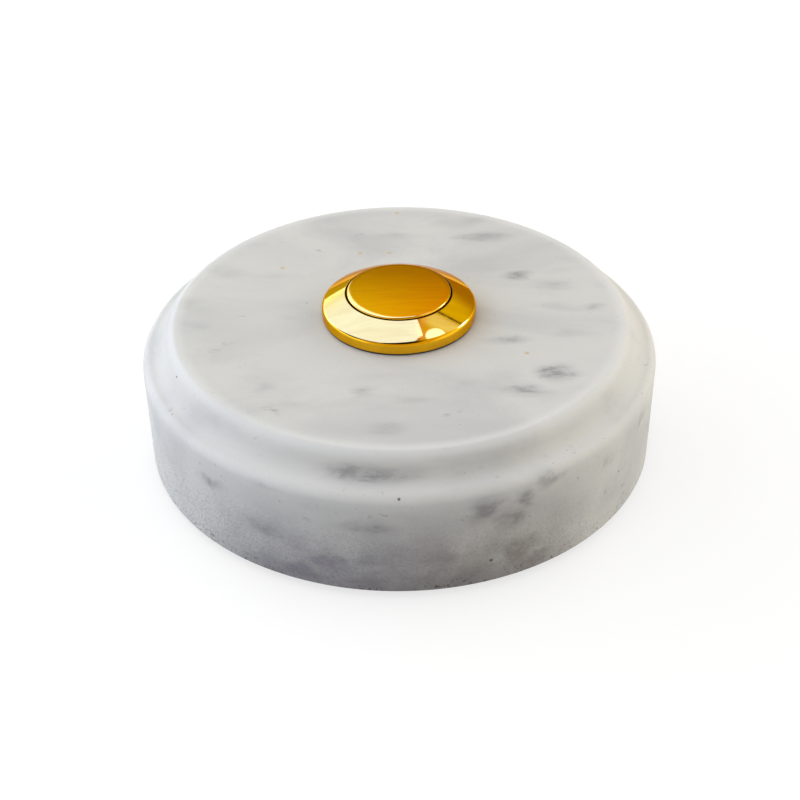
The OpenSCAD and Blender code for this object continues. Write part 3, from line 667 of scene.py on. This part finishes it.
outline = outline_of([
    (0, stem_low), (groove_r, stem_low), (stem_r, stem_lead), (stem_r, groove_low), (groove_r, groove_low),
    (groove_r, groove_high), (stem_r, groove_high), (stem_r, hub_low), (hub_r, hub_low, 0.15),
    (hub_r, disc_low), (disc_r, disc_low, 0.15), (disc_r, button_inside, 0.15), (0, button_inside),
], 4)
plunger = make("plunger_stem", turned_line(outline, False), turning, steps=96, finish=nylon)
fit(plunger, "button", "plunger")


# Contact spring: a small coil of bright steel wire on the stem, under the hub of the plunger.
# It presses the bridge onto its clip, and gives when the contacts meet before the button stops.
contact_low = 15.82
contact_high = 19.33
contact_r = 2.3
contact_wire = 0.35
contact_turns = 3.5
contact_line = coil_line(contact_r, contact_wire, contact_low, contact_high, contact_turns)
contact_coil = make("contact_coil", contact_line, coil, wire_radius=contact_wire / 2 * MM, sides=16,
                    finish=bright_steel)
fit(contact_coil, "button", "contact_spring")
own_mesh(contact_coil)


# Contact bridge: a strip of springy brass with an eye, stamped and tumbled so that its edges are soft.
# It slides on the stem of the plunger and joins the two fixed contacts when the button is pressed.
contact_brass, tree, shader = finish("contact_brass", metallic=1.0)
rolled = noise(tree, on_piece(tree, (0.12, 2, 1)), 1800, 3, 0.6)
stained = noise(tree, on_piece(tree), 420, 3, 0.6)
colour = blend(tree, ramp(tree, stained, 0.35, 0.8), (0.74, 0.54, 0.25, 1), (0.60, 0.40, 0.17, 1))
paint(tree, shader, colour, ramp(tree, rolled, 0.2, 0.8, 0.2, 0.4))
bump(tree, shader, rolled, 0.00001, 0.5)


def softened(name, source, material, width, steps=2, crease=30):
    """A copy of a CAD node with its sharp edges rounded over by a width in mm."""
    shape = bmesh.new()
    shape.from_mesh(cad[source].data)
    bmesh.ops.remove_doubles(shape, verts=shape.verts, dist=1e-6)
    bmesh.ops.dissolve_limit(shape, angle_limit=math.radians(0.5), verts=shape.verts, edges=shape.edges)
    edges = [e for e in shape.edges if len(e.link_faces) == 2 and e.calc_face_angle() > math.radians(crease)]
    bmesh.ops.bevel(shape, geom=edges, offset=width * MM, segments=steps, profile=0.5, affect="EDGES",
                    clamp_overlap=True)
    mesh = bpy.data.meshes.new(name)
    shape.to_mesh(mesh)
    shape.free()
    mesh.materials.append(material)
    smooth(mesh)
    piece = bpy.data.objects.new(name, mesh)
    bpy.context.scene.collection.objects.link(piece)
    return piece


bridge = softened("bridge", "contact_bridge", contact_brass, 0.08)
fit(bridge, "bridge", "contact_bridge")


# Bridge rivets: two silver contacts with slightly domed heads, headed over cold.
# They hang under the two ends of the bridge.
contact_reach = 4.4
bridge_low = 15.3
bridge_high = 15.8
rivet_head = 0.4
rivet_head_r = 1.2
rivet_shank_r = 0.6

silver, tree, shader = finish("contact_silver", metallic=1.0)
dull = noise(tree, on_piece(tree), 1500, 3, 0.6)
colour = blend(tree, dull, (0.86, 0.85, 0.82, 1), (0.70, 0.69, 0.66, 1))
paint(tree, shader, colour, ramp(tree, dull, 0.25, 0.75, 0.18, 0.38))


def in_a_row(tree, shape, reach):
    """Sets a shape at the left and at the right contact."""
    spots = node(tree, "GeometryNodeMeshLine", {
        "Count": 2,
        "Start Location": vector_of(tree, X=times(tree, reach, -1.0)),
        "Offset": vector_of(tree, X=times(tree, reach, 2.0)),
    }).outputs[0]
    return node(tree, "GeometryNodeInstanceOnPoints", {"Points": spots, "Instance": shape}).outputs[0]


rivets, given = group("rivets", *turned_inputs, ("Reach", "Float"))
rivet = turn(rivets, given["Outline"], given["Steps"])
close(rivets, in_a_row(rivets, rivet, given["Reach"]), given["Finish"])


def rivet_line(shank_end, seat, crown):
    """Outline of a rivet from the end of its shank to the crown of its head."""
    up = 1 if crown > seat else -1
    outline = outline_of([
        (0, shank_end), (rivet_shank_r, shank_end), (rivet_shank_r, seat), (rivet_head_r, seat),
        (rivet_head_r, crown - 0.08 * up, 0.12), (rivet_head_r / 2, crown - 0.02 * up), (0, crown),
    ], 5)
    return turned_line(outline, False)


rivet_down = rivet_line(bridge_high, bridge_low, bridge_low - rivet_head)
bridge_rivets = make("bridge_contacts", rivet_down, rivets, steps=48, reach=contact_reach * MM, finish=silver)
fit(bridge_rivets, "bridge", "bridge_rivets")


# Clip: an open ring of spring steel, punched, in the groove of the stem.
# It carries the bridge and stops the button at the end of its travel.
clip = softened("clip", "plunger_clip", bright_steel, 0.06)
fit(clip, "button", "plunger_clip")


# Contact carrier: a cup moulded in dark phenolic resin, held in the barrel by its rolled edge.
# Its floor carries the contacts, its boss guides the stem and its rim is the seat of the return spring.
phenolic, tree, shader = finish("phenolic", ior=1.6)
swirl = noise(tree, on_piece(tree, (1, 1, 1.8)), 240, 4, 0.6, 1.2)
colour = blend(tree, ramp(tree, swirl, 0.35, 0.75), (0.055, 0.030, 0.020, 1), (0.12, 0.065, 0.04, 1))
paint(tree, shader, colour, ramp(tree, swirl, 0.3, 0.7, 0.22, 0.36))
bump(tree, shader, swirl, 0.00002, 0.4)

carrier = softened("carrier", "contact_carrier", phenolic, 0.12)
fit(carrier, "base", "contact_carrier")


# Fixed contacts: two brass strips, each bent round the floor of the carrier.
# The upper end carries a contact and the lower end a terminal.
for hand in ("left", "right"):
    strip = softened("strip_" + hand, "fixed_contact_" + hand, contact_brass, 0.08)
    fit(strip, "base", "fixed_contact_" + hand)


# Fixed rivets: two silver contacts, headed over on the upper ends of the strips.
# The rivets of the bridge come down on them.
strip_low = 12.8
strip_high = 13.3
rivet_up = rivet_line(strip_low, strip_high, strip_high + rivet_head)
fixed_rivets = make("fixed_contacts", rivet_up, rivets, steps=48, reach=contact_reach * MM, finish=silver)
fit(fixed_rivets, "base", "fixed_rivets")


# Terminal clamps: two square brass plates, stamped, each with two grooves for the bell wire.
# The terminal screws hold them against the lower ends of the strips.
clamps = softened("clamps", "terminal_clamps", contact_brass, 0.1)
fit(clamps, "base", "terminal_clamps")


# Terminal screws: two slotted screws of bright steel with round heads, driven from below.
# They go through the clamps and strips into the carrier.
terminal_low = 6.7
terminal_seat = 8.3
terminal_top = 12.0
terminal_head_r = 2.2
terminal_r = 1.25
terminal_thread_r = 1.0
terminal_thread_low = 8.4
terminal_thread_high = 11.7
terminal_pitch = 0.45
terminal_slot = (0.6, 6, 1.6)
tree, given = group("slotted screws", *turned_inputs, ("Reach", "Float"), ("Slot", "Vector"),
                    ("Foot", "Float"))
slot = node(tree, "GeometryNodeMeshCube", {"Size": given["Slot"]}).outputs[0]
slot = node(tree, "GeometryNodeTransform", {
    "Geometry": slot, "Translation": vector_of(tree, Z=given["Foot"]),
}).outputs[0]
screw = cut_away(tree, turn(tree, given["Outline"], given["Steps"]), slot)
close(tree, in_a_row(tree, screw, given["Reach"]), given["Finish"])
outline = outline_of([
    (0, terminal_low), (terminal_head_r, terminal_low, 0.8), (terminal_head_r, terminal_seat),
    (terminal_r, terminal_seat),
    *grooves(terminal_r, terminal_thread_r, terminal_thread_low, terminal_thread_high, terminal_pitch),
    (terminal_r, terminal_top - 0.2), (terminal_thread_r, terminal_top), (0, terminal_top),
], 8)
terminal_screws = make("terminal_screws_slotted", turned_line(outline, False),
                       tree, steps=64, reach=contact_reach * MM, slot=[s * MM for s in terminal_slot],
                       foot=terminal_low * MM, finish=bright_steel)
fit(terminal_screws, "base", "terminal_screws")


# Fibre washer: a ring of red vulcanised fibre, punched from sheet.
# It lies under the web of the stone and keeps the nut and its washer from marking it.
washer_r = 15.78
washer_low = 14.3
washer_high = 15.1
washer_round = 0.1

red_fibre, tree, shader = finish("red_fibre", ior=1.5)
fibres = noise(tree, on_piece(tree, (0.25, 2.2, 1), 0.5), 1500, 4, 0.65)
colour = blend(tree, ramp(tree, fibres, 0.3, 0.75), (0.36, 0.075, 0.045, 1), (0.46, 0.14, 0.09, 1))
paint(tree, shader, colour, ramp(tree, fibres, 0.2, 0.8, 0.55, 0.75))
bump(tree, shader, fibres, 0.00004, 0.5)

outline = flat_ring(washer_r, washer_low, washer_high, washer_round, 4)
washer = make("red_washer", turned_line(outline), turning, steps=128, finish=red_fibre)
fit(washer, "base", "fibre_washer")


# Toothed washer: a ring of spring steel with twelve twisted teeth, stamped and hardened.
# It keeps the nut from turning back.
tooth_count = 12
tooth_low = 13.4
tooth_high = 14.3
tooth_size = (1.5, 3.0, 0.36)
tooth_circle_r = 12.2
tooth_twist = 9
band_r = 11.95
band_low = 13.62
band_high = 14.08
band_round = 0.08


def joined(tree, first, second):
    """Joins two shapes into one solid."""
    union = node(tree, "GeometryNodeMeshBoolean", {"Mesh 2": first}, operation="UNION", solver="MANIFOLD")
    tree.links.new(second, union.inputs["Mesh 2"])
    return union.outputs[0]


tree, given = group("toothed washer", *turned_inputs, ("Teeth", "Int"), ("Tooth Size", "Vector"),
                    ("Circle", "Float"), ("Middle", "Float"), ("Twist", "Float"))
tooth = node(tree, "GeometryNodeMeshCube", {"Size": given["Tooth Size"]}).outputs[0]
tooth = node(tree, "GeometryNodeTransform", {
    "Geometry": tooth, "Rotation": vector_of(tree, X=given["Twist"]),
}).outputs[0]
teeth = on_circle(tree, tooth, given["Teeth"], given["Circle"], given["Middle"])
teeth = node(tree, "GeometryNodeRealizeInstances", {0: teeth}).outputs[0]
band = turn(tree, given["Outline"], given["Steps"])
close(tree, joined(tree, band, teeth), given["Finish"])
outline = flat_ring(band_r, band_low, band_high, band_round, 3)
tooth_middle = (tooth_low + tooth_high) / 2
toothed = make("toothed_ring", turned_line(outline), tree, steps=96, finish=bright_steel,
               teeth=tooth_count, tooth_size=[s * MM for s in tooth_size], circle=tooth_circle_r * MM,
               middle=tooth_middle * MM, twist=math.radians(tooth_twist))
fit(toothed, "base", "tooth_washer")


# Nut: a hexagon nut of brass, 26 mm across its flats, turned and faced.
# It clamps the barrel of the bezel to the stone from below.
nut = softened("nut", "lock_nut", turned_brass, 0.2, 3)
fit(nut, "base", "lock_nut")


# Back cover: a disc of zinc-plated steel with two keyholes, a cable hole and countersunk screw holes.
# It is punched from 1.5 mm sheet and lies in the rebate of the stone, a little behind its rim.
zinc_steel, tree, shader = finish("zinc_steel", metallic=1.0)
rolled = noise(tree, on_piece(tree, (0.06, 1.6, 1)), 900, 3, 0.6)
spangle = node(tree, "ShaderNodeTexVoronoi", {"Vector": on_piece(tree), "Scale": 260.0}).outputs["Color"]
spangle = node(tree, "ShaderNodeSeparateColor", {0: spangle}).outputs[0]
smear = noise(tree, on_piece(tree), 90, 4, 0.6, 0.8)
colour = blend(tree, spangle, (0.50, 0.515, 0.53, 1), (0.62, 0.63, 0.635, 1))
colour = blend(tree, ramp(tree, smear, 0.45, 0.75, 0, 0.35), colour, (0.46, 0.46, 0.44, 1))
paint(tree, shader, colour, ramp(tree, rolled, 0.2, 0.8, 0.3, 0.48))
bump(tree, shader, rolled, 0.00001, 0.6)

cover = softened("cover", "back_cover", zinc_steel, 0.15)
fit(cover, "base", "back_cover")


# Cover screws: three countersunk screws of bright steel with a cross slot, flush with the cover.
# They go through the cover into the inserts, each stopped at its own angle.
cover_low = 1.0
cover_screw_top = 8.0
cover_head_r = 2.8
cover_head = 1.3
cover_screw_r = 1.5
cover_thread_r = 1.22
cover_thread_low = cover_low + 1.6
cover_thread_high = 7.6
cover_pitch = 0.5
cross_slot = (3.4, 0.75, 1.8)
tree, given = group("cross screws", *turned_inputs, ("Count", "Int"), ("Circle", "Float"), ("Slot", "Vector"),
                    ("Foot", "Float"))
slot = node(tree, "GeometryNodeMeshCube", {"Size": given["Slot"]}).outputs[0]
arms = []
for turned in (0.0, math.pi / 2):
    arms.append(node(tree, "GeometryNodeTransform", {
        "Geometry": slot, "Rotation": (0, 0, turned), "Translation": vector_of(tree, Z=given["Foot"]),
    }).outputs[0])
screw = cut_away(tree, turn(tree, given["Outline"], given["Steps"]), joined(tree, *arms))
screws_set = on_circle(tree, screw, given["Count"], given["Circle"], 0.0)
stopped = node(tree, "FunctionNodeRandomValue", {
    "Seed": 4, 0: (0, 0, 0), 1: (0, 0, math.tau),
}, data_type="FLOAT_VECTOR")
screws_set = node(tree, "GeometryNodeRotateInstances", {
    "Instances": screws_set, "Rotation": stopped.outputs[0],
}).outputs[0]
close(tree, screws_set, given["Finish"])
outline = outline_of([
    (0, cover_low), (cover_head_r, cover_low, 0.12), (cover_screw_r, cover_low + cover_head),
    *grooves(cover_screw_r, cover_thread_r, cover_thread_low, cover_thread_high, cover_pitch),
    (cover_screw_r, cover_screw_top - 0.3), (cover_screw_r - 0.3, cover_screw_top), (0, cover_screw_top),
], 4)
cover_screws = make("cover_screws_cross", turned_line(outline, False), tree,
                    steps=64, count=cover_screw_count, circle=screw_circle_r,
                    slot=[s * MM for s in cross_slot], foot=cover_low * MM, finish=bright_steel)
fit(cover_screws, "base", "cover_screws")


# Grommet: a flanged ring of black rubber, moulded, snapped into the middle of the cover.
# The bell cable comes in through it.
cable_hole_r = 2.5
neck_r = 3.95
grommet_r = 5.5
grommet_tip_r = 4.0
grommet_low = 0.4
cover_high = 2.5
grommet_high = 3.7
outline = outline_of([
    (cable_hole_r, grommet_low, 0.25), (grommet_r, grommet_low, 0.25), (grommet_r, cover_low, 0.1),
    (neck_r, cover_low), (neck_r, cover_high), (grommet_r, cover_high, 0.1),
    (grommet_tip_r, grommet_high, 0.25), (cable_hole_r, grommet_high, 0.25),
])
grommet = make("grommet", turned_line(outline), turning, steps=96, finish=seal_rubber)
fit(grommet, "base", "cable_grommet")


# Non-slip pad: a flat ring of dark foamed rubber with shallow grooves, glued under the rim of the stone.
# It stands the push on a counter without scratching, or closes it against a wall.
pad_inner_r = 32.8
pad_outer_r = 38.2
pad_high = 0.8
pad_round = 0.2
pad_groove = 0.25

pad_rubber, tree, shader = finish("pad_rubber", ior=1.5)
cells = node(tree, "ShaderNodeTexVoronoi", {"Vector": on_piece(tree), "Scale": 2600.0}).outputs["Distance"]
dusty = noise(tree, on_piece(tree), 160, 4, 0.6)
colour = blend(tree, ramp(tree, dusty, 0.35, 0.75), (0.055, 0.055, 0.057, 1), (0.10, 0.098, 0.095, 1))
colour = blend(tree, ramp(tree, cells, 0.1, 0.6, 0.5, 0.0), colour, (0.03, 0.03, 0.03, 1))
paint(tree, shader, colour, ramp(tree, dusty, 0.2, 0.8, 0.7, 0.9))
bump(tree, shader, cells, 0.00008, 0.6)

grip = [
    corner
    for r in (34.2, 35.5, 36.8)
    for corner in ((r - 0.3, 0), (r - 0.15, pad_groove), (r + 0.15, pad_groove), (r + 0.3, 0))
]
outline = outline_of([
    (pad_inner_r, pad_high), (pad_inner_r, 0, pad_round), *grip,
    (pad_outer_r, 0, pad_round), (pad_outer_r, pad_high),
], 4)
pad = make("pad", turned_line(outline), turning, steps=256, finish=pad_rubber)
fit(pad, "base", "base_pad")


# Studio: a pale matt floor, a large soft box above on the left, a cool side and a warm one.
# Three small lamps light only the polished brass, and what the brass mirrors of the room is set apart from
# what lights the stone, both after the photograph. The camera stands where the photograph was taken.
scene = bpy.context.scene
scene.view_settings.view_transform = "Standard"

floor_half = 4
floor_z = -0.00005
floor_corners = [(x * floor_half, y * floor_half, floor_z) for x, y in ((-1, -1), (1, -1), (1, 1), (-1, 1))]
floor_mesh = bpy.data.meshes.new("floor")
floor_mesh.from_pydata(floor_corners, [], [(0, 1, 2, 3)])
floor = bpy.data.objects.new("floor", floor_mesh)
scene.collection.objects.link(floor)
pale = bpy.data.materials.new("pale_floor")
pale.use_nodes = True
tree = pale.node_tree
tree.nodes.clear()


def seen(tree):
    """1 for rays from the camera, from gloss and through glass."""
    path = node(tree, "ShaderNodeLightPath").outputs
    gloss = larger(tree, path["Is Glossy Ray"], path["Is Transmission Ray"])
    return larger(tree, gloss, path["Is Camera Ray"])


matt = node(tree, "ShaderNodeBsdfDiffuse", {"Color": (0.35, 0.35, 0.35, 1)}).outputs[0]
glow = node(tree, "ShaderNodeEmission", {"Strength": times(tree, seen(tree), 0.7)}).outputs[0]
both = node(tree, "ShaderNodeAddShader", {0: matt, 1: glow}).outputs[0]
node(tree, "ShaderNodeOutputMaterial", {"Surface": both})
floor_mesh.materials.append(pale)


def lamp(name, aim, across, distance, size, strength, colour, middle=(0, 0), shape="RECTANGLE"):
    """A flat soft light of an even brightness, facing the object from a direction."""
    out = Vector(aim).normalized()
    u = (Vector(across) - Vector(across).dot(out) * out).normalized()
    v = out.cross(u)
    data = bpy.data.lights.new(name, "AREA")
    data.shape = shape
    data.size, data.size_y = size
    area = size[0] * size[1] * (1 if shape == "RECTANGLE" else math.pi / 4)
    data.energy = strength * math.pi * area
    data.color = colour
    light = bpy.data.objects.new(name, data)
    scene.collection.objects.link(light)
    turned = Matrix((u, v, out)).transposed()
    stand = Vector((0, 0, 0.025)) + out * distance + u * middle[0] + v * middle[1]
    light.matrix_world = Matrix.Translation(stand) @ turned.to_4x4()
    light.visible_camera = False
    return light


box_aim, box_edge = (-0.55, 0.30, 0.78), (-0.414, 0.712, -0.566)
key = lamp("softbox", box_aim, box_edge, 0.52, (0.81, 0.63), 0.49, (1, 1, 1), (-0.07, -0.015))
left_out = bpy.data.collections.new("left out of the softbox")
for piece in (bezel, button):
    left_out.objects.link(piece)
for held in left_out.collection_objects:
    held.light_linking.link_state = "EXCLUDE"
key.light_linking.receiver_collection = left_out
for shine in (
    lamp("brass shine", box_aim, box_edge, 0.5, (1.07, 0.71), 1.0, (1.12, 1.92, 33.0), (0.015, -0.055)),
    lamp("brass second shine", (0.385, 0.155, 0.91), (0.731, 0.55, -0.403), 0.06, (0.019, 0.010), 1.0,
         (1.2, 1.8, 30.0), (-0.001, -0.0142), "ELLIPSE"),
    lamp("brass glint", (0.846, 0.29, 0.44), (0, 0, 1), 0.5, (0.16, 0.14), 4.0, (1.2, 1.6, 20.0)),
):
    shine.light_linking.receiver_collection = brass_pieces

world = bpy.data.worlds.new("studio")
world.use_nodes = True
scene.world = world
tree = world.node_tree
tree.nodes.clear()
path = node(tree, "ShaderNodeLightPath").outputs
way = node(tree, "ShaderNodeTexCoord").outputs["Generated"]
x, y, z = node(tree, "ShaderNodeSeparateXYZ", {0: way}).outputs
dark = (0.02, 0.02, 0.022, 1)
warm_room = (0.75, 0.58, 0.05, 1)


def stripe(tree, value, middle, outer, inner):
    """1 close to a middle value, fading out between an inner and an outer distance from it."""
    off = reckon(tree, "ABSOLUTE", reckon(tree, "SUBTRACT", value, middle), 0.0)
    return ramp(tree, off, outer, inner)


# What lights the stone: dim air, and two sides that are brighter low down
beside = ramp(tree, y, -0.88, -0.5)
cool_side = times(tree, ramp(tree, x, -0.1, -0.65), ramp(tree, z, 0.75, 0.4))
warm_side = times(tree, ramp(tree, x, 0.1, 0.65), ramp(tree, z, 0.7, 0.35))
air = blend(tree, ramp(tree, z, 0.55, 0.95), dark, (0.7, 0.69, 0.68, 1))
low = ramp(tree, z, 0.35, 0.05)
cool = blend(tree, low, (2.35, 2.48, 2.68, 1), (3.5, 3.7, 4.0, 1))
warm = blend(tree, low, (2.5, 2.4, 2.15, 1), (3.9, 3.7, 3.25, 1))
air = blend(tree, times(tree, cool_side, beside), air, cool)
air = blend(tree, times(tree, warm_side, beside), air, warm)

# What the brass mirrors: a golden back with a pale and a dark band on its right, and a golden front
low_back = blend(tree, ramp(tree, x, -0.5, 0.1), (0.60, 0.70, 0.2, 1), (0.36, 0.26, 0.02, 1))
high_back = blend(tree, ramp(tree, x, -0.12, 0.12), (1.0, 1.04, 0.03, 1), (0.84, 0.48, 0.03, 1))
back = blend(tree, ramp(tree, z, 0.42, 0.62), low_back, high_back)
right = blend(tree, ramp(tree, z, 0.25, 0.6), (0.42, 0.30, 0.02, 1), (0.78, 0.76, 0.03, 1))
right = blend(tree, stripe(tree, y, 0.3, 0.14, 0.04), right, (1.0, 1.2, 5.0, 1))
back = blend(tree, ramp(tree, x, 0.2, 0.4), back, right)
shade = ramp(tree, reckon(tree, "ABSOLUTE", x, 0.0), 0.5, 0.3)
shade = times(tree, shade, ramp(tree, z, 0.62, 0.75))
front = blend(tree, shade, warm_room, dark)
shown = blend(tree, ramp(tree, y, -0.3, 0.05), front, back)

# Dark round the soft box, but not low in front, so that the button is golden from behind too
above = times(tree, ramp(tree, y, 0.45, 0.3), ramp(tree, x, 0.28, 0.18))
behind_box = larger(tree, above, ramp(tree, x, -0.2, -0.35))
shown = blend(tree, times(tree, behind_box, ramp(tree, z, 0.15, 0.35)), shown, dark)
low_front = times(tree, ramp(tree, y, -0.3, -0.5), ramp(tree, z, 0.68, 0.55))
shown = blend(tree, low_front, shown, warm_room)
bar = stripe(tree, y, 0.435, 0.02, 0.008)
shown = blend(tree, times(tree, bar, ramp(tree, x, 0.3, 0.4)), shown, dark)

# The pale sides as gloss shows them
cool_gloss = times(tree, ramp(tree, x, -0.55, -0.85), ramp(tree, z, 0.4, 0.2))
shown = blend(tree, cool_gloss, shown, (1.7, 1.88, 2.2, 1))
shown = blend(tree, ramp(tree, x, 0.6, 0.9), shown, (1.3, 1.2, 0.8, 1))
air = blend(tree, path["Is Glossy Ray"], air, shown)
air = blend(tree, path["Is Camera Ray"], air, (1, 1, 1, 1))
node(tree, "ShaderNodeOutputWorld", {
    "Surface": node(tree, "ShaderNodeBackground", {"Color": air, "Strength": 1.0}).outputs[0],
})

camera_tilt = 90 - 35.594
camera_roll = -0.6775
camera_place = (0, -0.192478, 0.143804)
lens = bpy.data.cameras.new("camera")
lens.sensor_width = 36
lens.lens = 65.743
lens.clip_start = 0.01
camera = bpy.data.objects.new("camera", lens)
scene.collection.objects.link(camera)
tilt = Matrix.Rotation(math.radians(camera_tilt), 4, "X")
roll = Matrix.Rotation(math.radians(camera_roll), 4, "Z")
camera.matrix_world = Matrix.Translation(camera_place) @ tilt @ roll
scene.camera = camera
